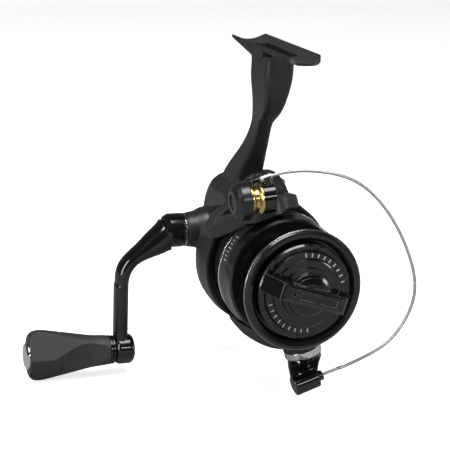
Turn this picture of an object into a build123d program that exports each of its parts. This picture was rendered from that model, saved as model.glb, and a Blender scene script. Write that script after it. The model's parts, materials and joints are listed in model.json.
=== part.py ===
"""Spinning reel: every physical piece as its own solid, one STEP file per piece.

Working frame (millimetres): the origin is on the main shaft, in the plane of the spool's front
lip. +Y runs to the rear, +Z up to the foot and the handle stands out along -X. Each piece is moved
as it is written, so that the finished reel has its origin at the middle of the foot's saddle.
Pieces of the rotor and the bail are drawn with the two rotor arms upright and turned together.
"""
from build123d import *
import math
import os

# ---- driving dimensions ----
LIP_RADIUS = 22.0            # spool, front lip
SKIRT_RADIUS = 22.4          # spool, rear skirt
SKIRT_FRONT = 15.1           # Y of the skirt's front wall
SKIRT_REAR = 27.6            # Y of the skirt's rear edge
STROKE = 12.0                # travel of spool and main shaft
SHAFT_RADIUS = 1.4           # main shaft
CRANK_Y = 67.3               # handle axis, behind the lip
CRANK_Z = 6.0                # handle axis, above the main shaft
CRANK_RADIUS = 46.3          # handle axis to knob axis
FOOT_TOP = 81.2              # saddle edge above the main shaft
FOOT_FRONT = 6.0             # Y of the foot's front tip
FOOT_REAR = 67.0             # Y of the foot's rear end
FOOT_WIDTH = 13.5
ARM_TILT = 18.0              # degrees, rotor arms from upright towards the handle
PIVOT_Y = 22.0               # Y of the bail's pivots
CASE_LEFT = -10.0            # X of the gear case's handle-side wall
BOSS_LEFT = -15.0            # X of the bearing boss on that wall
BODY_SPLIT = 9.0             # X where the side cover meets the body
BODY_RIGHT = 15.0            # X of the side cover's outer face
RUN = 0.05                   # radial clearance of every running fit

FOOT_MIDDLE = (FOOT_FRONT + FOOT_REAR) / 2

# ---- drive train ----
PINION_TEETH = 7
DRIVE_TEETH = 35
DRIVE_MODULE = 0.8
PINION_PITCH = PINION_TEETH * DRIVE_MODULE / 2
MESH_REACH = DRIVE_TEETH * DRIVE_MODULE / 2          # mesh point in front of the handle axis
MESH_RADIUS = math.hypot(MESH_REACH, CRANK_Z)
MESH_Y = CRANK_Y - MESH_REACH
CROWN_IN = MESH_RADIUS - 1.8
CROWN_OUT = MESH_RADIUS + 1.8
SPUR_MODULE = 0.7
SPUR_TEETH = (14, 28)
CAM_Y = CRANK_Y + 12.2
CAM_Z = CRANK_Z - 8.2
SPUR_X = (-6.8, -5.0)
CAM_THROW = STROKE / 2


# ---- shape helpers ----
def disc_y(radius, y0, y1, bore=0.0, x=0.0, z=0.0):
    """Cylinder or ring whose axis is parallel to Y."""
    shape = Cylinder(radius, y1 - y0)
    if bore:
        shape -= Cylinder(bore, y1 - y0)
    return Pos(x, (y0 + y1) / 2, z) * Rot(90, 0, 0) * shape


def disc_x(radius, x0, x1, bore=0.0, y=CRANK_Y, z=CRANK_Z):
    """Cylinder or ring whose axis is parallel to X; the handle axis by default."""
    shape = Cylinder(radius, x1 - x0)
    if bore:
        shape -= Cylinder(bore, x1 - x0)
    return Pos((x0 + x1) / 2, y, z) * Rot(0, 90, 0) * shape


def disc_z(radius, z0, z1, bore=0.0, x=0.0, y=0.0):
    """Cylinder or ring whose axis is parallel to Z."""
    shape = Cylinder(radius, z1 - z0)
    if bore:
        shape -= Cylinder(bore, z1 - z0)
    return Pos(x, y, (z0 + z1) / 2) * shape


def block(x0, x1, y0, y1, z0, z1):
    """Box between two corners."""
    return Pos((x0 + x1) / 2, (y0 + y1) / 2, (z0 + z1) / 2) * Box(x1 - x0, y1 - y0, z1 - z0)


def turned_y(outline):
    """Solid of revolution about the main shaft from (y, radius) corners."""
    face = make_face(Polyline([(r, y) for y, r in outline], close=True))
    return revolve(face, Axis.Y, 360)


def turned_x(outline, y=CRANK_Y, z=CRANK_Z):
    """Solid of revolution about a line parallel to X from (x, radius) corners."""
    face = make_face(Polyline([(x, r) for x, r in outline], close=True))
    return Pos(0, y, z) * revolve(face, Axis.X, 360)


def prism_x(face, x0, x1):
    """Extrude a face drawn in (y, z) from x0 to x1."""
    return extrude(Plane.YZ.offset(x0) * face, x1 - x0, dir=(1, 0, 0))


def prism_y(face, y0, y1):
    """Extrude a face drawn in (x, z) from y0 to y1."""
    return extrude(Plane.XZ.offset(-y0) * face, y1 - y0, dir=(0, 1, 0))


def prism_z(face, z0, z1):
    """Extrude a face drawn in (x, y) from z0 to z1."""
    return extrude(Plane.XY.offset(z0) * face, z1 - z0, dir=(0, 0, 1))


def on_rotor(shape):
    """Turn a piece drawn with upright rotor arms to the arms' rest angle."""
    return Rot(0, -ARM_TILT, 0) * shape


def spread(shape, count, start=0.0):
    """Copies of a shape spaced evenly about the main shaft."""
    return [Rot(0, start + 360 * i / count, 0) * shape for i in range(count)]


def gear_outline(teeth, module, phase, thickness=0.38):
    """Slim straight-flanked spur teeth: the root disc and one trapezium per tooth."""
    pitch = teeth * module / 2
    tip = pitch + 0.8 * module
    root = pitch - 1.05 * module
    half = thickness * math.pi * module / 2
    tooth = Polygon((root - 0.3, -1.5 * half), (tip, -0.6 * half), (tip, 0.6 * half),
                    (root - 0.3, 1.5 * half), align=None)
    outline = Circle(root)
    for i in range(teeth):
        outline += Rot(0, 0, phase + 360 * i / teeth) * tooth
    return outline


def coil(radius, wire, pitch, height):
    """Helical spring standing on Z, its first turn at z = wire."""
    path = Helix(pitch, height, radius)
    section = Plane(origin=path @ 0, z_dir=path % 0) * Circle(wire)
    return Pos(0, 0, wire) * sweep(section, path=path)


def bolt(head_radius, head, shank_radius, shank):
    """Cap screw on Z: head above z = 0 with a cross recess, shank below."""
    shape = disc_z(head_radius, 0, head)
    shape = fillet(shape.edges().sort_by(Axis.Z)[-1], head * 0.35)
    shape += disc_z(shank_radius, -shank, 0)
    for turn in (0, 90):
        shape -= Pos(0, 0, head) * Rot(0, 0, turn) * Box(head_radius * 1.3, head_radius * 0.28, head * 0.9)
    return shape


TURN_TO_RIGHT = Rot(0, 90, 0)        # carries +Z on to +X
TURN_TO_FRONT = Rot(90, 0, 0)        # carries +Z on to -Y


# ---- body: foot, stem and gear case ----
SADDLE_RADIUS = 12.5
HULL_RADIUS = 14.0           # convex underside of the foot
WEDGE_THIN = 2.2             # foot's depth at its rear end
WEDGE_THICK = 4.9            # foot's depth over the stem
WEDGE_FRONT = 50.5           # Y where the wedge meets the stem
CASE_RADIUS = 21.8
CASE_REAR_RADIUS = 12.9
CASE_WALL = 1.6
CASE_FLOOR = CASE_LEFT + 2.0  # X of the cavity's handle-side face
ROTOR_BACK = 53.5            # Y of the rotor's rear edge
COLLAR_RADIUS = 20.3         # round front of the case, inside the rotor
NECK_RADIUS = 13.0
NECK_FRONT = 37.4
BEARING_FRONT = 44.6
BEARING_BACK = 48.6
CASE_SCREWS = [(CRANK_Y + 19.6 * math.cos(math.radians(a)), CRANK_Z + 19.6 * math.sin(math.radians(a)))
               for a in (112, 32, -95)]
GUIDE = (-0.5, -9.0)         # x and z of the slider's guide rod
GUIDE_REAR = 89.6


def case_face(shrink=0.0):
    """Side outline of the gear case: two circles joined by their common tangents."""
    gear_circle = Pos(CRANK_Y, CRANK_Z) * Circle(CASE_RADIUS - shrink)
    cam_circle = Pos(CAM_Y, CAM_Z) * Circle(CASE_REAR_RADIUS - shrink)
    return make_hull((gear_circle.edges() + cam_circle.edges()))


def train_room():
    """Side outline of the cavity's narrow half, which holds the oscillation train."""
    shaft_circle = Pos(CRANK_Y, CRANK_Z) * Circle(14.0)
    cam_circle = Pos(CAM_Y, CAM_Z) * Circle(CASE_REAR_RADIUS - CASE_WALL)
    return make_hull((shaft_circle.edges() + cam_circle.edges()))


def clear_of_rotor(shape, radius):
    """Keep what lies behind the rotor, or within a radius of the main shaft."""
    front = ROTOR_BACK + 1.0
    behind = block(-60, 60, front, 120, -60, 60)
    return (shape & behind) + (shape & disc_y(radius, 46.5, front))


def foot_bilge(y0, y1):
    """What is cut from the foot's lower corners to leave a convex underside with a flat middle strip."""
    return block(-10, 10, y0, y1, -9, 6) - disc_y(HULL_RADIUS, y0 - 1, y1 + 1, z=HULL_RADIUS - 0.4)


def foot():
    """Saddle plate: hollow top with a long recess, thin convex tongue in front, convex wedge behind."""
    tip = FOOT_TOP - 3.0
    side = Polygon((FOOT_FRONT, FOOT_TOP), (FOOT_REAR, FOOT_TOP), (FOOT_REAR, FOOT_TOP - WEDGE_THIN),
                   (WEDGE_FRONT, FOOT_TOP - WEDGE_THICK), (36.0, FOOT_TOP - WEDGE_THICK), (30.0, tip),
                   (FOOT_FRONT, tip), align=None)
    plate = prism_x(side, -FOOT_WIDTH / 2, FOOT_WIDTH / 2)
    tongue = FOOT_WIDTH / 2
    straight = FOOT_REAR - FOOT_FRONT - tongue
    plan = Pos(0, FOOT_REAR - straight / 2) * Rectangle(FOOT_WIDTH, straight)
    plan = fillet(plan.vertices().group_by(Axis.Y)[-1], 1.5)
    plan += Pos(0, FOOT_FRONT + tongue) * Circle(tongue)
    plate &= prism_z(plan, FOOT_TOP - 12, FOOT_TOP + 2)
    slope = math.degrees(math.atan2(WEDGE_THICK - WEDGE_THIN, FOOT_REAR - WEDGE_FRONT))
    plate -= Pos(0, 0, tip) * foot_bilge(0, 33)
    plate -= Pos(0, FOOT_REAR, FOOT_TOP - WEDGE_THIN) * Rot(slope, 0, 0) * foot_bilge(-23.5, 3)
    saddle_lift = math.sqrt(SADDLE_RADIUS ** 2 - (FOOT_WIDTH / 2) ** 2)
    plate -= disc_y(SADDLE_RADIUS, 0, 80, z=FOOT_TOP + saddle_lift)
    recess = Pos(0, FOOT_MIDDLE + 1.3) * SlotOverall(34.5, 5.6, rotation=90)
    return plate - prism_z(recess, FOOT_TOP - 3.4, FOOT_TOP + 1)


def stem():
    """Leaning stem: rounded-rectangle sections from the foot down to the gear case."""
    #          z     y centre, half width, half length, corner
    sections = [(77.6, 40.4, 5.8, 10.0, 2.6), (73.0, 40.1, 5.4, 9.3, 2.4), (65.0, 41.0, 5.0, 8.5, 2.3),
                (60.0, 42.1, 4.3, 7.6, 2.1), (56.0, 44.0, 3.7, 6.6, 1.8), (51.6, 47.7, 3.1, 4.6, 1.5),
                (45.0, 51.8, 3.2, 4.8, 1.6), (38.0, 57.4, 4.0, 6.0, 2.0), (33.5, 61.6, 4.7, 7.0, 2.3),
                (28.6, 65.9, 5.4, 8.0, 2.6), (22.0, 68.0, 6.4, 9.4, 2.8)]
    faces = [Pos(0, y, z) * RectangleRounded(2 * a, 2 * b, r) for z, y, a, b, r in sections]
    return loft(faces)


def body():
    """Foot, stem and the open half of the gear case, with every bearing seat."""
    case = prism_x(case_face(), CASE_LEFT, BODY_SPLIT)
    case = fillet(case.edges().group_by(Axis.X)[0], 6.0)
    case -= Pos(CASE_LEFT, CRANK_Y, CRANK_Z + CASE_RADIUS) * Rot(0, -45, 0) * Box(60, 80, 10)
    shape = clear_of_rotor(case, COLLAR_RADIUS)
    shape += disc_y(COLLAR_RADIUS, 51.5, ROTOR_BACK + 1.0) & block(-60, BODY_SPLIT, 40, 60, -60, 60)
    shape += disc_y(NECK_RADIUS, NECK_FRONT, 52.0)
    shape += foot() + stem() + disc_x(8.6, BOSS_LEFT, CASE_FLOOR - 1.0)
    cavity = prism_x(case_face(CASE_WALL), 1.2, BODY_SPLIT) + prism_x(train_room(), CASE_FLOOR, 1.2)
    shape -= clear_of_rotor(cavity & block(-20, 20, 49.6, 120, -60, 60), COLLAR_RADIUS - 1.8)
    shape -= disc_y(9.5, NECK_FRONT, 44.4) + disc_y(7.5, 44.4, BEARING_FRONT)
    shape -= disc_y(6.5, BEARING_FRONT, BEARING_BACK) + disc_y(4.6, BEARING_BACK, 56.6)
    shape -= disc_x(5.5, BOSS_LEFT, BOSS_LEFT + 3.6) + disc_x(3.7, BOSS_LEFT, CASE_FLOOR)
    cradle = block(CASE_FLOOR - 1.0, 1.2, 57.2, 59.4, -5, 5)
    shape += cradle - disc_y(3.6, 57, 60)
    shape += disc_x(3.0, CASE_FLOOR - 0.5, SPUR_X[0] - 0.05, y=CAM_Y, z=CAM_Z)
    shape -= disc_x(1.6, CASE_LEFT + 0.6, SPUR_X[0], y=CAM_Y, z=CAM_Z)
    for y, z in CASE_SCREWS:
        shape += disc_x(2.0, -3, BODY_SPLIT, y=y, z=z)
        shape -= disc_x(0.9, 0, BODY_SPLIT, y=y, z=z)
    shape -= disc_y(1.0, 52.5, GUIDE_REAR, x=GUIDE[0], z=GUIDE[1])
    for hole in spread(disc_y(0.9, NECK_FRONT, NECK_FRONT + 5, z=11.25), 3):
        shape -= hole
    return shape


def side_cover():
    """Cover that closes the gear case and carries the second drive bearing."""
    shape = prism_x(case_face(), BODY_SPLIT, BODY_RIGHT)
    shape = fillet(shape.edges().group_by(Axis.X)[-1], 3.5)
    shape -= prism_x(case_face(CASE_WALL), BODY_SPLIT, 12.4)
    shape += disc_x(7.5, 9.9, 12.6)
    for y, z in CASE_SCREWS:
        shape += disc_x(2.15, BODY_SPLIT, 13.5, y=y, z=z)
    shape -= disc_x(5.5, 9.8, 12.9)
    shape -= disc_x(4.2, 12.0, BODY_RIGHT)
    shape = clear_of_rotor(shape, COLLAR_RADIUS) - disc_y(NECK_RADIUS, 40, 52)
    for y, z in CASE_SCREWS:
        shape -= disc_x(1.0, BODY_SPLIT, BODY_RIGHT, y=y, z=z)
        shape -= disc_x(1.9, 13.2, BODY_RIGHT, y=y, z=z)
    return shape


def side_cover_screws():
    """Three identical screws that hold the side cover."""
    screw = TURN_TO_RIGHT * bolt(1.8, 1.3, 0.9, 11.0)
    return [Pos(13.2, y, z) * screw for y, z in CASE_SCREWS]


def rear_cap():
    """Gloss cap that wraps the rear end of the gear case."""
    sides = (CASE_LEFT + 5.8, BODY_RIGHT - 3.6)
    outer = prism_x(case_face(-1.3), *sides)
    outer = fillet(outer.edges().group_by(Axis.X)[0] + outer.edges().group_by(Axis.X)[-1], 1.0)
    cut = Pos(0, 83.0, 0) * Rot(-12, 0, 0) * Pos(0, 40, 0) * Box(80, 80, 120)
    return (outer & cut) - prism_x(case_face(), -20, 20)


def handle_collar():
    """Tapered collar between the gear case and the handle."""
    end = ARM_ROOT_X + 0.75
    return turned_x([(BOSS_LEFT, 3.8), (BOSS_LEFT, 8.6), (-16.6, 8.2), (-19.0, 7.1), (end + 0.7, 6.5),
                     (end, 6.1), (end, 3.8)])


def bearing_y(outer, inner, y0, y1):
    """Shielded ball bearing on the main-shaft axis."""
    middle = (outer + inner) / 2
    band = 0.28 * (outer - inner)
    shape = disc_y(outer, y0, y1, bore=inner)
    for face in (y0, y1 - 0.25):
        shape -= disc_y(middle + band, face, face + 0.25, bore=middle - band)
    return shape


def drive_bearings():
    """Two identical bearings that carry the drive shaft."""
    upright = Pos(0, CRANK_Y, CRANK_Z) * Rot(0, 0, -90)
    return [Pos(x, 0, 0) * upright * bearing_y(5.5, 3.5, 0, 3.0) for x in (BOSS_LEFT + 0.6, 9.85)]


def pinion_bearing():
    """Large bearing behind the clutch."""
    return bearing_y(6.5, 3.0, BEARING_FRONT, BEARING_BACK)


def pinion_bushing():
    """Plain bushing at the pinion's rear end."""
    return disc_y(3.6, 57.2, 59.4, bore=2.0 + RUN)


def clutch_housing():
    """Outer race of the one-way clutch with its roller pockets."""
    shape = disc_y(9.5, NECK_FRONT, 44.4, bore=4.2 + RUN)
    for pocket in spread(disc_y(0.9, NECK_FRONT, 43.4, z=5.2), 6):
        shape -= pocket
    return shape


def clutch_rollers():
    """Six needle rollers in the clutch's pockets."""
    return spread(disc_y(0.85, NECK_FRONT + 0.1, 43.3, z=5.2), 6)


def clutch_retainer():
    """Plate over the one-way clutch."""
    shape = disc_y(NECK_RADIUS, 36.5, NECK_FRONT, bore=5.4)
    for hole in spread(disc_y(1.0, 36, 38, z=11.25), 3):
        shape -= hole
    return shape


def clutch_screws():
    """Three screws through the clutch retainer."""
    screw = Pos(0, 36.5, 11.25) * TURN_TO_FRONT * bolt(1.5, 0.7, 0.9, 4.5)
    return spread(screw, 3)


def guide_rod():
    """Steel rod that keeps the slider upright."""
    return disc_y(1.0, 53.0, GUIDE_REAR - 0.1, x=GUIDE[0], z=GUIDE[1])


def oscillation_axle():
    """Headed axle of the oscillation gear, fixed in the case wall."""
    back = SPUR_X[1] + 0.05
    shank = disc_x(1.6, CASE_LEFT + 0.6, back, y=CAM_Y, z=CAM_Z)
    return shank + disc_x(2.5, back, back + 0.55, y=CAM_Y, z=CAM_Z)


# ---- drive shaft, gears and handle ----
HEX_RADIUS = 2.8
ARM_ROOT_X = -23.85          # face of the handle arm behind the bright ring
LEG_X = -47.6                # middle of the arm's straight leg
BOSS_X = (-50.2, -42.6)
KNOB_Z = CRANK_Z - CRANK_RADIUS


def hex_bar(radius, x0, x1):
    """Hexagonal bar on the handle axis."""
    return prism_x(Pos(CRANK_Y, CRANK_Z) * RegularPolygon(radius, 6), x0, x1)


def drive_shaft():
    """Hollow shaft with a hexagonal bore for the handle."""
    return disc_x(3.5, -14.6, 13.4) - hex_bar(HEX_RADIUS, -15, 14)


def drive_gear():
    """Crown gear whose straight teeth face the pinion."""
    tip_x = PINION_PITCH - 0.55
    root_x = PINION_PITCH + 0.95
    shape = disc_x(CROWN_OUT, tip_x, 6.2, bore=3.5)
    shape -= disc_x(CROWN_IN, tip_x, 4.6)
    shape += disc_x(5.2, 4.6, 9.8, bore=3.5)
    slot = Pos(0, -(CROWN_IN + CROWN_OUT) / 2, -CRANK_Z) * Box(2 * (root_x - tip_x), 9.0, 1.68)
    centre = Pos(tip_x, CRANK_Y, CRANK_Z)
    slots = [centre * Rot(360 * i / DRIVE_TEETH, 0, 0) * slot for i in range(DRIVE_TEETH)]
    shape -= slots
    hole = disc_x(2.2, 4, 7, y=0, z=9.2)
    holes = [Pos(0, CRANK_Y, CRANK_Z) * Rot(360 * i / 5, 0, 0) * hole for i in range(5)]
    return shape - holes


def oscillation_pinion():
    """Small spur gear fixed on the drive shaft."""
    lean = math.degrees(math.atan2(CAM_Z - CRANK_Z, CAM_Y - CRANK_Y))
    outline = gear_outline(SPUR_TEETH[0], SPUR_MODULE, lean) - Circle(3.5)
    return prism_x(Pos(CRANK_Y, CRANK_Z) * outline, *SPUR_X)


def oscillation_gear():
    """Large spur gear with the eccentric pin that drives the slider."""
    lean = math.degrees(math.atan2(CAM_Z - CRANK_Z, CAM_Y - CRANK_Y))
    outline = gear_outline(SPUR_TEETH[1], SPUR_MODULE, lean + 180 + 180 / SPUR_TEETH[1])
    outline -= Circle(1.6 + RUN)
    shape = prism_x(Pos(CAM_Y, CAM_Z) * outline, *SPUR_X)
    return shape + disc_x(1.5, SPUR_X[1] - 0.1, -4.0, y=CAM_Y - CAM_THROW, z=CAM_Z)


def handle_shank():
    """Hexagonal shank that slides into the drive shaft."""
    return hex_bar(HEX_RADIUS, ARM_ROOT_X - 2.2, 2.0)


def screw_cap():
    """Cap screwed into the far end of the drive shaft."""
    shape = turned_x([(2.0, 0), (2.0, 2.3), (BODY_RIGHT + 0.2, 2.3), (BODY_RIGHT + 0.2, 5.8),
                      (BODY_RIGHT + 2.4, 5.8), (BODY_RIGHT + 3.4, 4.8), (BODY_RIGHT + 3.4, 0)])
    for i in range(8):
        notch = disc_x(0.9, BODY_RIGHT + 0.6, BODY_RIGHT + 4, y=6.2, z=0)
        shape -= Pos(0, CRANK_Y, CRANK_Z) * Rot(45 * i, 0, 0) * notch
    return shape


def joint_ring():
    """Bright thin ring where the handle meets its collar."""
    return disc_x(6.5, ARM_ROOT_X, ARM_ROOT_X + 0.7, bore=3.6)


def handle_arm():
    """Cranked arm: round root, falling bend and straight leg, with a boss for the knob."""
    #           x      z    tilt, half in-plane, half thickness
    stations = [(-30.6, -1.6, 20, 6.5, 6.0), (-34.6, -4.6, 32, 5.1, 5.4), (-38.6, -7.1, 33, 3.9, 4.8),
                (-42.4, -9.6, 38, 3.1, 4.4), (-45.2, -12.3, 54, 3.0, 4.2), (-46.9, -15.8, 74, 2.9, 4.1),
                (LEG_X, -20.5, 90, 2.8, 4.0)]
    faces = []
    for x, z, tilt, half_plane, half_thick in stations:
        lean = math.radians(tilt)
        plane = Plane(origin=(x, CRANK_Y, CRANK_Z + z), x_dir=(0, 1, 0),
                      z_dir=(-math.cos(lean), 0, -math.sin(lean)))
        faces.append(plane * Ellipse(half_thick, half_plane))
    shape = turned_x([(ARM_ROOT_X, 0), (ARM_ROOT_X, 6.0), (ARM_ROOT_X - 0.8, 6.5), (-29.6, 6.5), (-31.2, 5.6),
                      (-31.8, 4.4), (-31.8, 0)])
    shape += loft(faces)
    leg = Pos(LEG_X, CRANK_Y) * Ellipse(2.8, 4.0)
    shape += prism_z(leg, KNOB_Z + 2.0, CRANK_Z - 20.5)
    boss = disc_x(5.8, BOSS_X[0], BOSS_X[1], z=KNOB_Z)
    shape += fillet(boss.edges(), 2.2)
    shape -= hex_bar(HEX_RADIUS, ARM_ROOT_X - 2.2, ARM_ROOT_X + 1)
    shape -= disc_x(6.5, BOSS_X[0] - 3, BOSS_X[0], z=KNOB_Z)
    return shape - disc_x(1.9, BOSS_X[0] - 3, BOSS_X[1] - 2.0, z=KNOB_Z)


KNOB_INNER = BOSS_X[0] - 2.2
KNOB_OUTER = -83.6
KNOB_BORE = 3.6
CAP_RADIUS = 5.3


def knob_spindle():
    """Spindle riveted in the arm's boss."""
    return disc_x(1.9, KNOB_OUTER + 4.6, BOSS_X[1] - 2.0, z=KNOB_Z)


def knob_bushings():
    """Two bushings in the knob that turn on the spindle."""
    return [disc_x(KNOB_BORE, x - 3.0, x, bore=1.9 + RUN, z=KNOB_Z) for x in (KNOB_INNER, KNOB_OUTER + 8.2)]


def knob_screw():
    """Screw and washer that keep the knob on its spindle."""
    tip = KNOB_OUTER + 4.6
    shape = disc_x(3.0, tip - 0.6, tip, z=KNOB_Z) + disc_x(2.2, tip - 1.8, tip - 0.6, z=KNOB_Z)
    return shape - (Pos(tip - 1.5, CRANK_Y, KNOB_Z) * Box(1.0, 3.4, 0.7))


def knob_collar():
    """Two-ring collar between the arm and the knob."""
    side = BOSS_X[0]
    return turned_x([(side, 1.9 + RUN), (side, 5.0), (side - 0.4, 5.5), (side - 0.9, 5.5), (side - 1.1, 5.0),
                     (side - 1.3, 5.0), (side - 1.5, 5.6), (side - 2.0, 5.6), (side - 2.0, 1.9 + RUN)],
                    z=KNOB_Z)


def knob():
    """Rubber grip that flares outward, with finger hollows and flat bevels that meet halfway down."""
    stations = [(KNOB_INNER, 5.6, 5.6), (-58.0, 6.1, 5.8), (-66.0, 7.5, 6.3), (-74.0, 9.0, 7.0),
                (-80.0, 9.8, 7.4), (-82.6, 9.0, 7.1), (KNOB_OUTER, 7.2, 6.6)]
    faces = [Plane(origin=(x, CRANK_Y, KNOB_Z), x_dir=(0, 1, 0), z_dir=(-1, 0, 0)) * Ellipse(thick, tall)
             for x, tall, thick in stations]
    shape = loft(faces)
    hollow_radius = 26.0
    for side in (-1, 1):
        hollow = Rot(0, 24, 0) * Cylinder(hollow_radius, 40)
        shape -= Pos(-62.0, CRANK_Y + side * (hollow_radius + 4.2), KNOB_Z - 3.0) * hollow
        for lean, length in ((60, 16), (120, 28)):
            bevel = Rot(side * lean, 0, 0) * Pos(0, 0, -20.0 - 6.2) * Box(length, 60, 40)
            shape -= Pos(-87.0 + length / 2, CRANK_Y, KNOB_Z) * bevel
    shape -= disc_x(KNOB_BORE, KNOB_OUTER + 1.2, KNOB_INNER, z=KNOB_Z)
    return shape - disc_x(CAP_RADIUS, KNOB_OUTER, KNOB_OUTER + 1.2, z=KNOB_Z)


def knob_cap():
    """Bright dished cap pressed into the knob's outer end."""
    face = KNOB_OUTER - 1.2
    return turned_x([(KNOB_OUTER + 1.2, 0), (KNOB_OUTER + 1.2, CAP_RADIUS), (face + 0.7, CAP_RADIUS),
                     (face, CAP_RADIUS - 0.9), (face + 0.1, CAP_RADIUS - 1.5), (face + 0.6, 2.4),
                     (face + 0.6, 0)],
                    z=KNOB_Z)


# ---- pinion and rotor ----
ROTOR_WEB = (33.0, 35.5)
ROTOR_DRUM = 20.4            # drum that enters the spool's skirt
GROOVE_FLOOR = 40.6
ARM_INNER = 24.3
TOP_BOSS = 33.0              # height of the bail-side pivot boss
LOW_BOSS = 29.7              # height of the holder-side pivot boss
PIVOT_HOLE = 1.6


def pinion():
    """Pinion sleeve: threaded nose, bearing seat, teeth and rear journal."""
    collar_back = CRANK_Y - CROWN_OUT + 0.1
    shape = disc_y(3.0, 30.4, BEARING_BACK) + disc_y(3.4, BEARING_BACK, collar_back)
    shape += disc_y(2.0, collar_back, 59.4)
    teeth = gear_outline(PINION_TEETH, DRIVE_MODULE, 0, 0.31)
    shape += prism_y(teeth, 50.8, MESH_Y + 2.9)
    return shape - disc_y(SHAFT_RADIUS + RUN, 30, 60)


def clutch_sleeve():
    """Hardened sleeve on the pinion that the clutch rollers grip."""
    return disc_y(4.2, 37.0, 44.5, bore=3.0)


def arm_plan():
    """Plan outline of a rotor arm: two curved legs that arch from the pivot back to the cup."""
    right = [(7.6, PIVOT_Y - 0.8), (13.2, 26.4), (16.6, 33.0), (18.4, 42.0)]
    left = [(-x, y) for x, y in reversed(right)]
    flank = Spline(right)
    other = Spline(left)
    base = Line(right[-1], left[0])
    tip = ThreePointArc(left[-1], (0, PIVOT_Y - 6.8), right[0])
    return make_face([flank, base, other, tip])


def rotor():
    """Rotor cup with its inner drum and two window arms."""
    cup = turned_y([(ROTOR_WEB[0], 3.0), (ROTOR_WEB[0], 17.6), (28.8, 17.6), (28.8, ROTOR_DRUM),
                    (GROOVE_FLOOR, ROTOR_DRUM), (GROOVE_FLOOR, 23.1), (36.0, 23.3), (36.0, 24.2),
                    (43.0, 24.6), (48.5, 24.2), (ROTOR_BACK, 22.6), (ROTOR_BACK, 21.2), (48.0, 22.4),
                    (43.4, 23.4), (42.4, 19.0), (ROTOR_WEB[1], 19.0), (ROTOR_WEB[1], 5.2), (36.2, 5.2),
                    (36.2, 3.0)])
    shell = turned_y([(14.5, ARM_INNER), (14.5, 28.0), (18.0, 28.9), (24.0, 28.9), (34.0, 27.8),
                      (44.5, 25.0), (46.0, 24.2), (43.0, 23.7), (38.0, ARM_INNER)])
    corners = [(4.4, 29.2), (7.8, 26.4), (10.6, 28.0), (13.2, 35.2), (4.4, 35.2)]
    windows = [prism_z(Polygon([(side * x, y) for x, y in corners], align=None), 0, 40) for side in (-1, 1)]
    arm = shell & prism_z(arm_plan(), 0, 40)
    arm -= windows
    pocket = block(-3.2, 3.2, 27.6, 38.6, 24.9, 40)
    top = (arm + disc_z(6.4, ARM_INNER + 0.2, TOP_BOSS, y=PIVOT_Y)) - pocket
    low = Rot(0, 180, 0) * ((arm + disc_z(6.4, ARM_INNER + 0.2, LOW_BOSS, y=PIVOT_Y)) - pocket)
    shape = cup + top + low
    shape -= disc_z(PIVOT_HOLE, 26.0, TOP_BOSS, y=PIVOT_Y)
    shape -= disc_z(PIVOT_HOLE, -LOW_BOSS, -26.0, y=PIVOT_Y)
    shape -= disc_y(22.9, 8.0, GROOVE_FLOOR - 4, bore=ROTOR_DRUM)
    return on_rotor(shape)


def rotor_nut():
    """Hexagonal nut that clamps the rotor on the pinion."""
    face = Pos(0, 0) * RegularPolygon(5.4, 6) - Circle(3.0)
    return prism_y(face, 31.0, ROTOR_WEB[0])


def arm_covers():
    """Two curved plates that close the pockets in the rotor arms."""
    skin = turned_y([(24.9, 28.8), (24.9, 29.5), (34.0, 28.5), (41.0, 26.8), (41.0, 25.95), (34.0, 27.8)])
    plan = Pos(0, 33.4) * RectangleRounded(7.4, 14.6, 2.0)
    plate = skin & prism_z(plan, 0, 40)
    top = plate - disc_z(6.4, 20, 40, y=PIVOT_Y)
    return [on_rotor(top), on_rotor(Rot(0, 180, 0) * top)]


def bail_spring():
    """Compression spring that snaps the bail over."""
    spring = coil(0.95, 0.24, 0.95, 5.0)
    return on_rotor(Pos(0, 28.0, 26.2) * Rot(-90, 0, 0) * spring)


def pivot_screws():
    """Two shouldered screws on which the bail turns."""
    top = bolt(3.6, 1.3, PIVOT_HOLE, 11.0)
    return [on_rotor(Pos(0, PIVOT_Y, TOP_BOSS + 4.3) * top),
            on_rotor(Pos(0, PIVOT_Y, HOLDER_TOP - 3.6) * Rot(180, 0, 0) * bolt(3.4, 1.2, PIVOT_HOLE, 10.0))]


# ---- bail ----
ROLLER_Y = 8.0
ROLLER_HEAD = Vector(-14.6, ROLLER_Y, 37.4)          # outer end of the roller's axis
ROLLER_FOOT = Vector(0.6, ROLLER_Y, 34.0)            # inner end
ROLLER_LENGTH = (ROLLER_FOOT - ROLLER_HEAD).length
ROLLER_SPAN = (6.4, 10.6)                            # roller's ends along its axis
WIRE_TOP = 41.4                                      # height of the wire's upper end


def on_roller(shape):
    """Place a piece drawn on +Z, z = 0 at the bail arm's outer face, on the roller's axis."""
    axis = Plane(origin=ROLLER_HEAD, x_dir=(0, 1, 0), z_dir=ROLLER_FOOT - ROLLER_HEAD)
    return axis.location * shape


def roller_turned(outline):
    """Solid of revolution on the roller's axis from (distance, radius) corners."""
    face = make_face(Polyline([(r, t) for t, r in outline], close=True))
    return on_roller(revolve(Plane.XZ * face, Axis.Z, 360))


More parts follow.
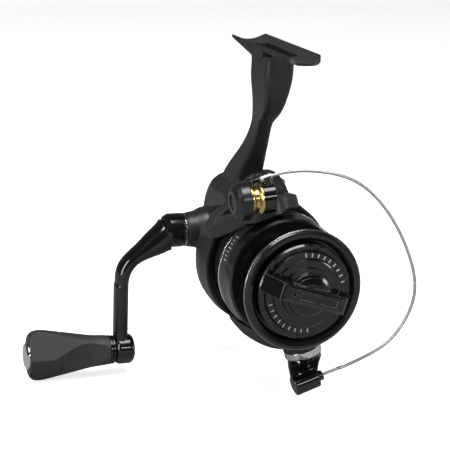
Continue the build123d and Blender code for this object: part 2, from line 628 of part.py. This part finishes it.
def bail_arm():
    """Arm from the bail-side pivot forward to the roller's bell-shaped head."""
    back = ROLLER_SPAN[0] - 0.2
    bell = roller_turned([(0.4, 0), (0.4, 4.2), (1.4, 5.8), (2.8, 6.6), (back - 0.6, 6.9), (back, 6.3),
                          (back, 0)])
    hub = disc_z(6.0, TOP_BOSS + 0.1, TOP_BOSS + 4.2, y=PIVOT_Y)
    hub = fillet(hub.edges().group_by(Axis.Z)[-1], 1.2)
    sections = [((-1.5, PIVOT_Y - 1, TOP_BOSS + 2.2), 5.4, 1.9), ((-7.0, 15.5, TOP_BOSS + 2.5), 4.2, 2.0),
                ((-10.4, 10.0, 36.4), 3.4, 3.2)]
    link = loft([Plane(origin=at, x_dir=(12, -9, 0), z_dir=(-9, -12, 1)) * Ellipse(wide, thick)
                 for at, wide, thick in sections])
    link -= on_roller(disc_z(6.5, back, 24))
    shape = hub + link + bell
    shape -= disc_z(PIVOT_HOLE + RUN, TOP_BOSS - 1, TOP_BOSS + 8, y=PIVOT_Y)
    shape -= block(-20, 20, -20, 60, 0, TOP_BOSS + 0.1) & disc_y(60, 15.4, 60)
    shape -= on_roller(disc_z(1.3, 0, 8))
    return on_rotor(shape - on_roller(disc_z(2.7, 0, 2.2)))


def line_roller():
    """Grooved line roller."""
    start, end = ROLLER_SPAN
    return on_rotor(roller_turned([(start, 2.4 + RUN), (start, 5.7), (start + 0.5, 5.7), (start + 1.5, 4.7),
                                   (end - 1.5, 4.7), (end - 0.5, 5.7), (end, 5.7), (end, 2.4 + RUN)]))


def roller_bushing():
    """Bushing the line roller turns on."""
    return on_rotor(on_roller(disc_z(2.4, ROLLER_SPAN[0] - 0.2, ROLLER_SPAN[1] + 0.2, bore=1.3)))


def wire_socket():
    """Round socket that closes the roller and holds the wire's upper end."""
    end = ROLLER_LENGTH
    start = ROLLER_SPAN[1] + 0.2
    barrel = roller_turned([(start, 0), (start, 5.6), (end - 0.5, 5.6), (end, 5.0), (end, 0)])
    lug = disc_z(1.8, 36.4, 42.0, x=0.0, y=ROLLER_Y)
    shape = barrel + lug
    shape -= on_roller(disc_z(1.3, 10, end - 1.4))
    return on_rotor(shape - (Pos(0.0, ROLLER_Y, WIRE_TOP) * Rot(0, 90, 0) * Cylinder(1.2, 8)))


def roller_screw():
    """Screw through bell, bushing and socket."""
    shank = disc_z(1.3, 1.4, ROLLER_LENGTH - 1.4)
    head = disc_z(2.6, 0.8, 2.2)
    slot = Pos(0, 0, 0.9) * Box(0.6, 4, 1.0)
    return on_rotor(on_roller(shank + head - slot))


HOLDER_TOP = -(LOW_BOSS + 2.7)
WIRE_RADIUS = 0.6
WIRE_END = Vector(1.2, 10.2, -38.0)                  # face of the holder's nose


def bail_wire():
    """Round steel wire looped from the socket past the spool to the holder."""
    points = [(0.6, ROLLER_Y, WIRE_TOP), (9.0, 6.8, 40.7), (18.0, 4.0, 38.0),
              (28.6, 0.5, 31.2), (36.6, -2.6, 16.5), (39.6, -4.0, 0.0), (38.0, -3.4, -16.0),
              (29.4, -0.6, -28.0), (18.0, 3.8, -34.4), (8.0, 8.6, -37.4), tuple(WIRE_END)]
    path = Spline(points, tangents=[(1, 0, 0), (-1, 0, 0)])
    section = Plane(origin=path @ 0, z_dir=path % 0) * Circle(WIRE_RADIUS)
    wire = sweep(section, path=path)
    root = Pos(-0.15, ROLLER_Y, WIRE_TOP) * Rot(0, 90, 0) * Cylinder(1.2, 4.1)
    return on_rotor(wire + root)


def wire_holder():
    """Tapered holder on the lower pivot with the round socket for the wire's end."""
    barrel_left = WIRE_END.X - 11.4
    barrel_right = WIRE_END.X - 1.9
    level = WIRE_END.Z
    hub = Pos(0, PIVOT_Y, HOLDER_TOP - 2.2) * Cone(5.4, 6.9, 4.4)
    barrel = disc_x(3.65, barrel_left, barrel_right, y=WIRE_END.Y, z=level)
    barrel = fillet(barrel.edges(), 0.5)
    heading = (-0.35, -1, -0.3)
    sections = [((0, PIVOT_Y, HOLDER_TOP - 2.3), 6.4, 2.2), ((-3.0, 16.0, level + 3.0), 5.6, 2.8),
                ((-5.4, 11.0, level + 0.6), 4.7, 3.0)]
    link = loft([Plane(origin=at, x_dir=(1, 0, 0), z_dir=heading) * Ellipse(wide, thick)
                 for at, wide, thick in sections])
    nose = disc_x(1.9, barrel_right - 0.9, WIRE_END.X, y=WIRE_END.Y, z=level)
    shape = hub + link + barrel + nose
    shape -= disc_z(7.4, HOLDER_TOP, -26, y=PIVOT_Y)
    shape -= disc_z(PIVOT_HOLE + RUN, -50, HOLDER_TOP + 1, y=PIVOT_Y)
    shape -= disc_z(3.6, -50, HOLDER_TOP - 3.6, y=PIVOT_Y)
    return on_rotor(shape)


def holder_ring():
    """Bright ring between the lower rotor arm and the wire holder."""
    return on_rotor(disc_z(7.0, HOLDER_TOP, -LOW_BOSS - 0.1, bore=PIVOT_HOLE + RUN, y=PIVOT_Y))


# ---- main shaft and oscillation ----
def main_shaft():
    """Shaft that carries the spool through the pinion."""
    return disc_y(SHAFT_RADIUS, -3.6, 77.0)


def slider():
    """Oscillation slider with the cross slot for the eccentric pin."""
    middle = Pos(CAM_Y - CAM_THROW, CAM_Z)
    shape = prism_x(middle * SlotOverall(17.0, 5.2, rotation=90), -3.9, 2.0)
    shape -= prism_x(middle * SlotOverall(15.2, 3.1, rotation=90), -3.9, -2.2)
    shape -= disc_y(1.0 + RUN, 70, 78, x=GUIDE[0], z=GUIDE[1])
    return shape - disc_y(SHAFT_RADIUS, 70, 78)


def click_gear():
    """Ratchet disc for the drag clicker, in one with the flanged seat under the spool."""
    seat = turned_y([(15.2, SHAFT_RADIUS), (15.2, 3.2), (16.0, 4.4), (17.0, 4.4), (17.0, SHAFT_RADIUS)])
    return prism_y(gear_outline(18, 0.55, 0) - Circle(SHAFT_RADIUS), 13.6, 15.3) + seat


# ---- spool and drag ----
CHAMBER_FLOOR = 11.5
LIP_BACK = 0.9               # lip ring, front and back
RING_BACK = 1.6
GRIP_WIDTH = 6.2
GRIP_LEAN = 17.0


def spool():
    """Spool: flanged arbor, drag chamber in front, hollow skirt behind."""
    edge = SKIRT_REAR - 1.2
    shape = turned_y([(3.2, 12.0), (3.2, 18.0), (1.2, 18.3), (0.3, 19.2), (0.0, 20.4), (0.2, 21.2),
                      (LIP_BACK, 21.7), (LIP_BACK, 20.6), (RING_BACK, 20.6), (RING_BACK, 21.7), (2.4, 21.3),
                      (4.8, 16.0), (5.8, 14.8),
                      (13.6, 14.8), (SKIRT_FRONT, 15.8), (SKIRT_FRONT, 21.4), (15.6, SKIRT_RADIUS - 0.3),
                      (edge, SKIRT_RADIUS), (edge, 21.1), (16.3, 21.1), (16.3, 9.0), (13.0, 9.0), (13.0, 3.1),
                      (CHAMBER_FLOOR, 3.1), (CHAMBER_FLOOR, 12.0), (5.6, 12.0), (5.6, 12.4), (4.9, 12.4),
                      (4.9, 12.0)])
    slot = Rot(0, 58, 0) * block(-24, -20, 22.4, 25.2, -1.3, 1.3)
    return shape - slot


def spool_lip():
    """Bright hard ring set into the lip, just behind its front edge."""
    return turned_y([(LIP_BACK, 20.6), (LIP_BACK, LIP_RADIUS - 0.1), (LIP_BACK + 0.1, LIP_RADIUS),
                     (RING_BACK - 0.1, LIP_RADIUS), (RING_BACK, LIP_RADIUS - 0.1), (RING_BACK, 20.6)])


def skirt_ring():
    """Bright ring around the skirt's rear edge."""
    return turned_y([(SKIRT_REAR - 1.2, 21.1), (SKIRT_REAR - 1.2, 22.5), (SKIRT_REAR - 0.2, 22.5),
                     (SKIRT_REAR, 22.2), (SKIRT_REAR, 21.1)])


def spool_bushing():
    """Bushing between spool and main shaft."""
    return disc_y(3.1, CHAMBER_FLOOR, 13.4, bore=SHAFT_RADIUS + RUN)


def clicker():
    """Spring pawl behind the spool that rides on the ratchet disc."""
    shape = disc_y(1.2, 13.0, 15.0, z=7.3) + block(-0.45, 0.45, 13.9, 14.7, 5.6, 7.3)
    return shape


def friction_washers():
    """Three fibre drag washers."""
    return [disc_y(11.6, y, y + 1.0, bore=4.2) for y in (6.9, 8.7, 10.5)]


def metal_washers():
    """Two steel drag washers keyed to the shaft."""
    return [disc_y(11.2, y, y + 0.8, bore=SHAFT_RADIUS) for y in (7.9, 9.7)]


def washer_clip():
    """Wire clip that keeps the drag stack in the spool."""
    ring = Pos(0, 5.25, 0) * Rot(90, 0, 0) * Torus(12.0, 0.32)
    return ring - block(-1.5, 1.5, 4, 7, 8, 14)


def pressure_plate():
    """Keyed plate that presses on the drag stack."""
    shape = disc_y(10.8, 6.1, 6.9, bore=SHAFT_RADIUS + RUN)
    return shape + disc_y(2.6, 5.4, 6.1, bore=SHAFT_RADIUS + RUN)


def drag_spring():
    """Coil spring between the drag nut and the pressure plate."""
    return Pos(0, 3.4, 0) * Rot(-90, 0, 0) * coil(3.3, 0.33, 0.95, 2.0)


def drag_nut():
    """Hexagonal nut on the shaft's threaded nose."""
    return prism_y(RegularPolygon(4.2, 6) - Circle(SHAFT_RADIUS + RUN), 0.6, 3.2)


def drag_knob():
    """Stepped round drag knob with a hexagonal pocket for its nut."""
    shape = turned_y([(3.2, 0), (3.2, 7.0), (1.6, 7.4), (1.6, 16.6), (1.0, 17.2), (-0.6, 17.2), (-1.2, 16.6),
                      (-1.2, 15.2), (-0.4, 15.0), (-0.4, 12.4), (-2.9, 12.4), (-3.2, 12.0), (-3.2, 9.6),
                      (-4.4, 9.4), (-4.4, 0)])
    shape -= prism_y(RegularPolygon(4.2, 6), 0.6, 3.2)
    shape -= disc_y(SHAFT_RADIUS + RUN, -3.8, 0.7)
    for i in range(6):
        shape -= Rot(0, 60 * i + 12, 0) * block(-1.1, 1.1, -1.2, -0.6, 15.4, 17.5)
    return shape


def dial_ring():
    """Ring around the knob with raised graduation ticks in two arcs."""
    shape = turned_y([(-0.4, 12.4), (-0.4, 15.0), (-2.0, 15.0), (-2.6, 14.7), (-2.6, 12.6), (-2.4, 12.4)])
    tick = block(-0.2, 0.2, -2.75, -2.5, 13.0, 14.4)
    ticks = [Rot(0, start + 10 * i, 0) * tick for start in (-4, 176) for i in range(9)]
    return shape + ticks


def drag_grip():
    """Domed centre and raised crossbar, cut to sit on the knob and its dial ring."""
    dome = turned_y([(-4.4, 0), (-4.4, 8.2), (-5.6, 7.8), (-6.4, 6.6), (-6.8, 4.5), (-7.0, 0)])
    side = Polygon((-16.9, -1.2), (-16.9, -1.6), (-12.4, -9.6), (-10.8, -10.8), (10.8, -10.8), (12.6, -9.4),
                   (16.9, -1.6), (16.9, -1.2), align=None)
    bar = prism_z(side, -GRIP_WIDTH / 2, GRIP_WIDTH / 2)
    bar = chamfer(bar.edges().group_by(Axis.Y)[0], 1.1)
    bar -= block(-5.6, 8.6, -11, -10.3, -1.1, 1.1) + disc_y(0.7, -11, -9.8, x=-8.2)
    bar = Rot(0, GRIP_LEAN, 0) * bar
    return (dome + bar) - drag_knob() - dial_ring() - disc_y(SHAFT_RADIUS + RUN, -3.8, 0)


# ---- files ----
def save(node, shape):
    """Move a piece to the row frame and write it as one STEP file."""
    solids = shape if isinstance(shape, (list, tuple)) else shape.solids()
    moved = [Pos(0, -FOOT_MIDDLE, -FOOT_TOP) * solid for solid in solids]
    result = Compound(children=moved) if len(moved) > 1 else moved[0]
    result.label = node
    export_step(result, f"parts/{node}.step")


NODES = [
    body, side_cover, side_cover_screws, rear_cap, handle_collar, drive_bearings, pinion_bearing,
    pinion_bushing, clutch_housing, clutch_rollers, clutch_retainer, clutch_screws, guide_rod,
    oscillation_axle, drive_shaft, drive_gear, oscillation_pinion, oscillation_gear, handle_shank,
    screw_cap, joint_ring, handle_arm, knob_spindle, knob_bushings, knob_screw, knob_collar, knob,
    knob_cap, pinion, clutch_sleeve, rotor, rotor_nut, arm_covers, bail_spring, pivot_screws,
    bail_arm, line_roller, roller_bushing, wire_socket, roller_screw, bail_wire, wire_holder,
    holder_ring, main_shaft, slider, click_gear, spool, spool_lip, skirt_ring, spool_bushing,
    clicker, friction_washers, metal_washers, washer_clip, pressure_plate, drag_spring, drag_nut,
    drag_knob, dial_ring, drag_grip,
]

os.makedirs("parts", exist_ok=True)
for piece in NODES:
    save(piece.__name__, piece())
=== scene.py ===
"""Studio view of the spinning reel: procedural materials on the CAD frame and printed skirt ticks."""
import json
import math

import bpy
import bmesh
from mathutils import Matrix, Vector


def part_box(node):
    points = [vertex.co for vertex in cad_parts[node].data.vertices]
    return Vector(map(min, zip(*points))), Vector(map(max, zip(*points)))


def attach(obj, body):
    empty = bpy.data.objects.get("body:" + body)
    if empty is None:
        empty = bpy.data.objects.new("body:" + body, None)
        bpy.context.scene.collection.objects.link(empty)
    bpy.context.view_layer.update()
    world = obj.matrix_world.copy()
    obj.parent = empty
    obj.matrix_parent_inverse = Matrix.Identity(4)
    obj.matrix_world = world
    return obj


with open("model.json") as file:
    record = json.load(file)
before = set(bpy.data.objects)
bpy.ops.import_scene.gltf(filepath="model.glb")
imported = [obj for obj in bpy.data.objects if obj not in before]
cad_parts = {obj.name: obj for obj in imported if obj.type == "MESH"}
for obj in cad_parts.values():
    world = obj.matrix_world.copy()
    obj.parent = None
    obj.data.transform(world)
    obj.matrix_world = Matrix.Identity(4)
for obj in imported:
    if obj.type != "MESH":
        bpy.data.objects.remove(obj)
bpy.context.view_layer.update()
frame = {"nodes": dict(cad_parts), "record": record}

MM = 0.001
CREASE = math.radians(24)                # faces that meet at a sharper angle keep a crisp edge
SKIRT_BAND_DEPTH = 20.6                  # mm behind the spool's front, where the grey band starts
GRADUATION_DEPTH = 0.12                  # mm, raised front faces of the dial ring
FLOOR_DROP = 8                           # mm from the reel's lowest piece to the floor


# ---- places taken from the frame ----
def middle(node):
    """Centre of a node's box."""
    low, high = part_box(node)
    return (low + high) / 2


def across(node):
    """Half of a node's width, in mm."""
    low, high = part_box(node)
    return (high.x - low.x) / 2 / MM


SHAFT = middle("main_shaft")             # a point on the main-shaft axis


# ---- objects ----
def add_object(name, data):
    """New object in the scene."""
    made = bpy.data.objects.new(name, data)
    bpy.context.scene.collection.objects.link(made)
    return made


def add_mesh(name, mesh, material):
    """New mesh object from a bmesh, which is then freed."""
    data = bpy.data.meshes.new(name)
    mesh.to_mesh(data)
    mesh.free()
    data.materials.append(material)
    return add_object(name, data)


# ---- materials ----
class Recipe:
    """Small helper that builds one procedural node material."""

    def __init__(self, name):
        self.material = bpy.data.materials.new(name)
        self.material.use_nodes = True
        self.nodes = self.material.node_tree.nodes
        self.links = self.material.node_tree.links
        self.shader = self.nodes["Principled BSDF"]
        self.place = self.add("ShaderNodeTexCoord").outputs["Object"]

    def add(self, kind, **inputs):
        node = self.nodes.new(kind)
        for key, value in inputs.items():
            node.inputs[key.replace("_", " ")].default_value = value
        return node

    def noise(self, scale, detail=4.0, stretch=None):
        node = self.add("ShaderNodeTexNoise", Scale=scale, Detail=detail)
        source = self.place
        if stretch:
            mapping = self.add("ShaderNodeMapping")
            mapping.inputs["Scale"].default_value = stretch
            self.links.new(source, mapping.inputs["Vector"])
            source = mapping.outputs["Vector"]
        self.links.new(source, node.inputs["Vector"])
        return node.outputs["Fac"]

    def ramp(self, factor, low, high, start=0.3, end=0.7):
        node = self.add("ShaderNodeMapRange")
        node.inputs["From Min"].default_value = start
        node.inputs["From Max"].default_value = end
        node.inputs["To Min"].default_value = low
        node.inputs["To Max"].default_value = high
        self.links.new(factor, node.inputs["Value"])
        return node.outputs["Result"]

    def blend(self, factor, first, second):
        node = self.add("ShaderNodeMix")
        node.data_type = "RGBA"
        for socket, colour in ((node.inputs[6], first), (node.inputs[7], second)):
            if isinstance(colour, tuple):
                socket.default_value = colour + (1.0,)
            else:
                self.links.new(colour, socket)
        self.links.new(factor, node.inputs["Factor"])
        return node.outputs[2]

    def edge_wear_and_sheen_mask(self, radius, sharpness):
        """Mask that is 1 where the rounded normal leaves the true one."""
        bevel = self.add("ShaderNodeBevel", Radius=radius)
        bevel.samples = 4
        true = self.add("ShaderNodeNewGeometry")
        dot = self.add("ShaderNodeVectorMath")
        dot.operation = "DOT_PRODUCT"
        self.links.new(bevel.outputs["Normal"], dot.inputs[0])
        self.links.new(true.outputs["Normal"], dot.inputs[1])
        return bevel, self.ramp(dot.outputs["Value"], 1.0, 0.0, 1.0 - sharpness, 1.0)


def surface(name, dark, light, rough, metallic=0.0, coat=0.0, grain=900.0, bump=0.02,
            edge=None, edge_mix=0.25, stretch=None, edge_radius=0.25):
    """Procedural surface: two mottled tones, uneven gloss, fine relief and lighter edges, which are wear
    and, where the edge mix is high, a painted highlight.
    """
    recipe = Recipe(name)
    tone = recipe.blend(recipe.ramp(recipe.noise(60.0), 0.0, 1.0), dark, light)
    bevel, edge_wear_and_sheen = recipe.edge_wear_and_sheen_mask(edge_radius * MM, 0.25)
    # Lighter edge colour: real wear on most materials, and on the drag grip mostly a painted edge highlight.
    scuffs_and_painted_sheen = recipe.add("ShaderNodeMath")
    scuffs_and_painted_sheen.operation = "MULTIPLY"
    recipe.links.new(edge_wear_and_sheen, scuffs_and_painted_sheen.inputs[0])
    recipe.links.new(recipe.ramp(recipe.noise(400.0), 0.1 * edge_mix, edge_mix), scuffs_and_painted_sheen.inputs[1])
    wear_and_sheen_colour = edge or tuple(min(1.0, 2.2 * c + 0.02) for c in light)
    tone = recipe.blend(scuffs_and_painted_sheen.outputs["Value"], tone, wear_and_sheen_colour)
    recipe.links.new(tone, recipe.shader.inputs["Base Color"])
    recipe.links.new(recipe.ramp(recipe.noise(110.0), rough[0], rough[1]), recipe.shader.inputs["Roughness"])
    relief = recipe.add("ShaderNodeBump", Strength=bump, Distance=0.1 * MM)
    recipe.links.new(recipe.noise(grain, 3.0, stretch), relief.inputs["Height"])
    recipe.links.new(bevel.outputs["Normal"], relief.inputs["Normal"])
    recipe.links.new(relief.outputs["Normal"], recipe.shader.inputs["Normal"])
    recipe.shader.inputs["Metallic"].default_value = metallic
    recipe.shader.inputs["Coat Weight"].default_value = coat
    recipe.shader.inputs["Coat Roughness"].default_value = 0.04
    return recipe.material


TURNED = (40.0, 4000.0, 40.0)            # relief drawn out around the main-shaft axis
MATERIALS = {
    "satin_black": surface("satin_black", (0.013, 0.0135, 0.0132), (0.018, 0.0187, 0.0183), (0.34, 0.44),
                           bump=0.10, grain=2600.0, edge_mix=0.5),
    "gloss_black": surface("gloss_black", (0.0025, 0.0025, 0.003), (0.0045, 0.0045, 0.005), (0.10, 0.17),
                           coat=0.35, grain=300.0, bump=0.015, edge_mix=0.25),
    "rubber_grip": surface("rubber_grip", (0.022, 0.0228, 0.022), (0.030, 0.031, 0.030), (0.46, 0.56),
                           bump=0.25, grain=3500.0, edge_mix=0.4),
    "bright_chrome": surface("bright_chrome", (0.72, 0.72, 0.73), (0.84, 0.84, 0.85), (0.07, 0.15),
                             metallic=1.0, grain=500.0, bump=0.02, edge=(1.0, 1.0, 1.0)),
    "steel": surface("steel", (0.30, 0.30, 0.31), (0.42, 0.42, 0.43), (0.20, 0.32), metallic=1.0, bump=0.05,
                     grain=1500.0, edge=(0.8, 0.8, 0.8)),
    "dark_metal": surface("dark_metal", (0.006, 0.006, 0.0065), (0.010, 0.010, 0.0105), (0.24, 0.34),
                          coat=0.15, grain=1200.0, bump=0.05, edge_mix=0.4),
    "gold_brass": surface("gold_brass", (0.50, 0.36, 0.13), (0.68, 0.51, 0.22), (0.16, 0.26), metallic=1.0,
                          grain=900.0, bump=0.04, edge=(1.0, 0.88, 0.55)),
    "brass": surface("brass", (0.55, 0.38, 0.15), (0.68, 0.50, 0.22), (0.22, 0.34), metallic=1.0, bump=0.06,
                     edge=(0.95, 0.8, 0.5)),
    "zinc": surface("zinc", (0.30, 0.30, 0.31), (0.40, 0.40, 0.41), (0.32, 0.46), metallic=1.0, bump=0.12,
                    grain=1400.0, edge=(0.7, 0.7, 0.7)),
    "grey_plastic": surface("grey_plastic", (0.16, 0.16, 0.17), (0.22, 0.22, 0.23), (0.40, 0.52), bump=0.08),
    "felt": surface("felt", (0.04, 0.035, 0.03), (0.07, 0.06, 0.05), (0.80, 0.95), bump=0.5, grain=2500.0),
}
SPOOL_BLACK = surface("spool_black", (0.004, 0.004, 0.0045), (0.007, 0.007, 0.0075), (0.16, 0.26), coat=0.25,
                      grain=900.0, bump=0.03, stretch=TURNED)
SKIRT_GREY = surface("skirt_grey", (0.040, 0.040, 0.041), (0.055, 0.055, 0.056), (0.26, 0.36), metallic=0.4,
                     grain=900.0, bump=0.05, stretch=TURNED)
WIRE_STEEL = surface("wire_steel", (0.42, 0.42, 0.41), (0.52, 0.52, 0.51), (0.22, 0.32), metallic=0.55,
                     grain=900.0, bump=0.03, edge=(0.8, 0.8, 0.8))
DARK_STEEL = surface("dark_steel", (0.07, 0.07, 0.072), (0.11, 0.11, 0.112), (0.24, 0.34), metallic=1.0,
                     grain=900.0, bump=0.04, edge=(0.4, 0.4, 0.4))
LIP_CHROME = surface("lip_chrome", (0.20, 0.20, 0.20), (0.27, 0.27, 0.27), (0.10, 0.18), metallic=1.0,
                     grain=900.0, bump=0.03, stretch=TURNED, edge=(0.9, 0.9, 0.9), edge_mix=0.8)
# Drag grip: its pale edge band is partly wear and partly a painted highlight of the light on its rounded
# edges.
GRIP_BLACK_WEAR_AND_PAINTED_HIGHLIGHT = surface("grip_black_wear_and_painted_highlight", (0.003, 0.003, 0.0033), (0.0045, 0.0045, 0.005), (0.12, 0.20), coat=0.2,
                     grain=500.0, bump=0.02, edge=(0.35, 0.35, 0.35), edge_mix=0.9, edge_radius=0.35)
TICK_GREY = surface("tick_grey", (0.42, 0.42, 0.42), (0.52, 0.52, 0.52), (0.40, 0.50), bump=0.03)
OWN_LOOK = {"bail_wire": WIRE_STEEL, "spool": SPOOL_BLACK, "pivot_screws": DARK_STEEL,
            "spool_lip": LIP_CHROME, "drag_grip": GRIP_BLACK_WEAR_AND_PAINTED_HIGHLIGHT, "handle_collar": MATERIALS["satin_black"]}


def dress():
    """Give every CAD node its own look or its record slot's, with smooth curved faces and crisp edges."""
    slots = {part["node"]: part["material_slot"] for part in frame["record"]["subparts"]}
    for name, node in frame["nodes"].items():
        node.data.materials.clear()
        node.data.materials.append(OWN_LOOK.get(name) or MATERIALS[slots[name]])
        node.data.shade_smooth()
        node.data.set_sharp_from_angle(angle=CREASE)


def paint(name, material, inside):
    """Give a second material to the faces of a node for which inside(radius, depth) is true.

    The radius is measured from the main-shaft axis, the depth from the node's front end, both in mm."""
    mesh = frame["nodes"][name].data
    mesh.materials.append(material)
    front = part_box(name)[0].y
    for polygon in mesh.polygons:
        centre = polygon.center
        radius = math.hypot(centre.x - SHAFT.x, centre.z - SHAFT.z) / MM
        if inside(radius, (centre.y - front) / MM):
            polygon.material_index = 1


def paint_details():
    """Grey skirt band on the spool and pale graduations on the dial."""
    skirt_inside = across("skirt_ring") - 0.8
    paint("spool", SKIRT_GREY, lambda radius, depth: depth > SKIRT_BAND_DEPTH and radius > skirt_inside)
    paint("dial_ring", TICK_GREY, lambda radius, depth: depth < GRADUATION_DEPTH)


# ---- pieces that only the visual model has ----
def around_shaft(radius, angle, y):
    """Point at a radius in mm and an angle about the main-shaft axis."""
    return Vector((SHAFT.x + radius * MM * math.cos(angle), y, SHAFT.z + radius * MM * math.sin(angle)))


def skirt_ticks():
    """Plain graduations on the skirt's grey band: seven raised ticks, every third one longer."""
    skirt = across("spool")
    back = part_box("spool")[1].y - 2.2 * MM
    first, pitch, half_width = 140, 4, 0.45      # degrees about the shaft
    mesh = bmesh.new()
    for step in range(7):
        length = 2.2 if step % 3 == 0 else 1.3
        corners = [mesh.verts.new(around_shaft(radius, math.radians(first + pitch * step + half), y))
                   for half in (-half_width, half_width) for y in (back - length * MM, back)
                   for radius in (skirt - 0.10, skirt + 0.04)]
        for face in ((0, 1, 3, 2), (4, 6, 7, 5), (0, 4, 5, 1), (2, 3, 7, 6), (1, 5, 7, 3), (0, 2, 6, 4)):
            mesh.faces.new([corners[i] for i in face])
    bmesh.ops.recalc_face_normals(mesh, faces=mesh.faces)
    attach(add_mesh("skirt_ticks", mesh, TICK_GREY), "spool")


# ---- stage, light and camera ----
def floor_material():
    """Pale and faintly glowing to the camera, dark to the reel's own reflections."""
    recipe = Recipe("pale_floor")
    tone = recipe.blend(recipe.ramp(recipe.noise(2.0), 0.0, 1.0), (0.90, 0.90, 0.90), (0.93, 0.93, 0.93))
    seen = recipe.add("ShaderNodeLightPath").outputs["Is Camera Ray"]
    recipe.links.new(recipe.blend(seen, (0.30, 0.30, 0.30), tone), recipe.shader.inputs["Base Color"])
    recipe.links.new(tone, recipe.shader.inputs["Emission Color"])
    recipe.links.new(recipe.ramp(seen, 0.04, 0.75, 0.0, 1.0), recipe.shader.inputs["Emission Strength"])
    recipe.shader.inputs["Roughness"].default_value = 0.9
    return recipe.material


def stage_sheet():
    """Floor that curves up into the backdrop. Its sizes are in metres."""
    floor_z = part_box("wire_holder")[0].z - FLOOR_DROP * MM
    front, back, bend, top, half_width = -3.0, 1.2, 0.5, 4.0, 4.0
    outline = [(front, 0.0), (back, 0.0)]
    outline += [(back + bend * math.sin(a), bend - bend * math.cos(a))
                for a in (math.radians(6 * i) for i in range(1, 16))]
    outline.append((back + bend, top))
    mesh = bmesh.new()
    rows = [[mesh.verts.new((x, y, floor_z + z)) for x in (-half_width, half_width)] for y, z in outline]
    for near, far in zip(rows, rows[1:]):
        mesh.faces.new((near[0], near[1], far[1], far[0]))
    sheet = add_mesh("floor", mesh, floor_material())
    sheet.data.shade_smooth()


def soft_light(name, place, target, size, power):
    """Rectangular soft box that points at the target, with its size in metres and power in watts."""
    data = bpy.data.lights.new(name, "AREA")
    data.shape = "RECTANGLE"
    data.size, data.size_y = size
    data.energy = power
    light = add_object(name, data)
    light.location = place
    light.rotation_euler = (Vector(target) - Vector(place)).to_track_quat("-Z", "Y").to_euler()


def studio():
    """Dim surround with an overhead box, a tall box on either side and a low one in front."""
    world = bpy.data.worlds.new("studio")
    world.use_nodes = True
    surround = world.node_tree.nodes["Background"]
    surround.inputs["Color"].default_value = (0.95, 0.97, 1.0, 1.0)
    surround.inputs["Strength"].default_value = 0.05
    bpy.context.scene.world = world
    reel = middle("rotor")
    soft_light("overhead", (-0.10, -0.25, 0.85), reel, (0.8, 0.5), 11.0)
    soft_light("left_box", (-0.95, -0.35, 0.15), reel, (0.22, 0.9), 7.5)
    soft_light("right_box", (0.95, -0.30, 0.25), reel, (0.15, 0.8), 3.5)
    soft_light("front_box", (0.15, -1.3, 0.45), reel, (0.7, 0.12), 3.0)
    bpy.context.scene.view_settings.view_transform = "Standard"


def photo_camera():
    """Camera at the photograph's angle, turned, raised and rolled about the middle of the spool's lip."""
    turn, height, roll = (math.radians(a) for a in (-19.43, 14.57, 2.02))
    back = Vector((math.sin(turn) * math.cos(height), -math.cos(turn) * math.cos(height), math.sin(height)))
    level = Vector((math.cos(turn), math.sin(turn), 0.0))
    upright = back.cross(level)
    right = level * math.cos(roll) + upright * math.sin(roll)
    up = upright * math.cos(roll) - level * math.sin(roll)
    lip = Vector((SHAFT.x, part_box("spool_lip")[0].y, SHAFT.z))
    distance, aside, above = 536 * MM, -27.31 * MM, 22.89 * MM
    place = lip + back * distance + right * aside + up * above
    data = bpy.data.cameras.new("photo_camera")
    data.lens = 122.5
    data.sensor_width = 36.0
    data.clip_start = 0.01
    camera = add_object("photo_camera", data)
    turned = Matrix((right, up, back)).transposed().to_4x4()
    camera.matrix_world = Matrix.Translation(place) @ turned
    bpy.context.scene.camera = camera


dress()
paint_details()
skirt_ticks()
stage_sheet()
studio()
photo_camera()
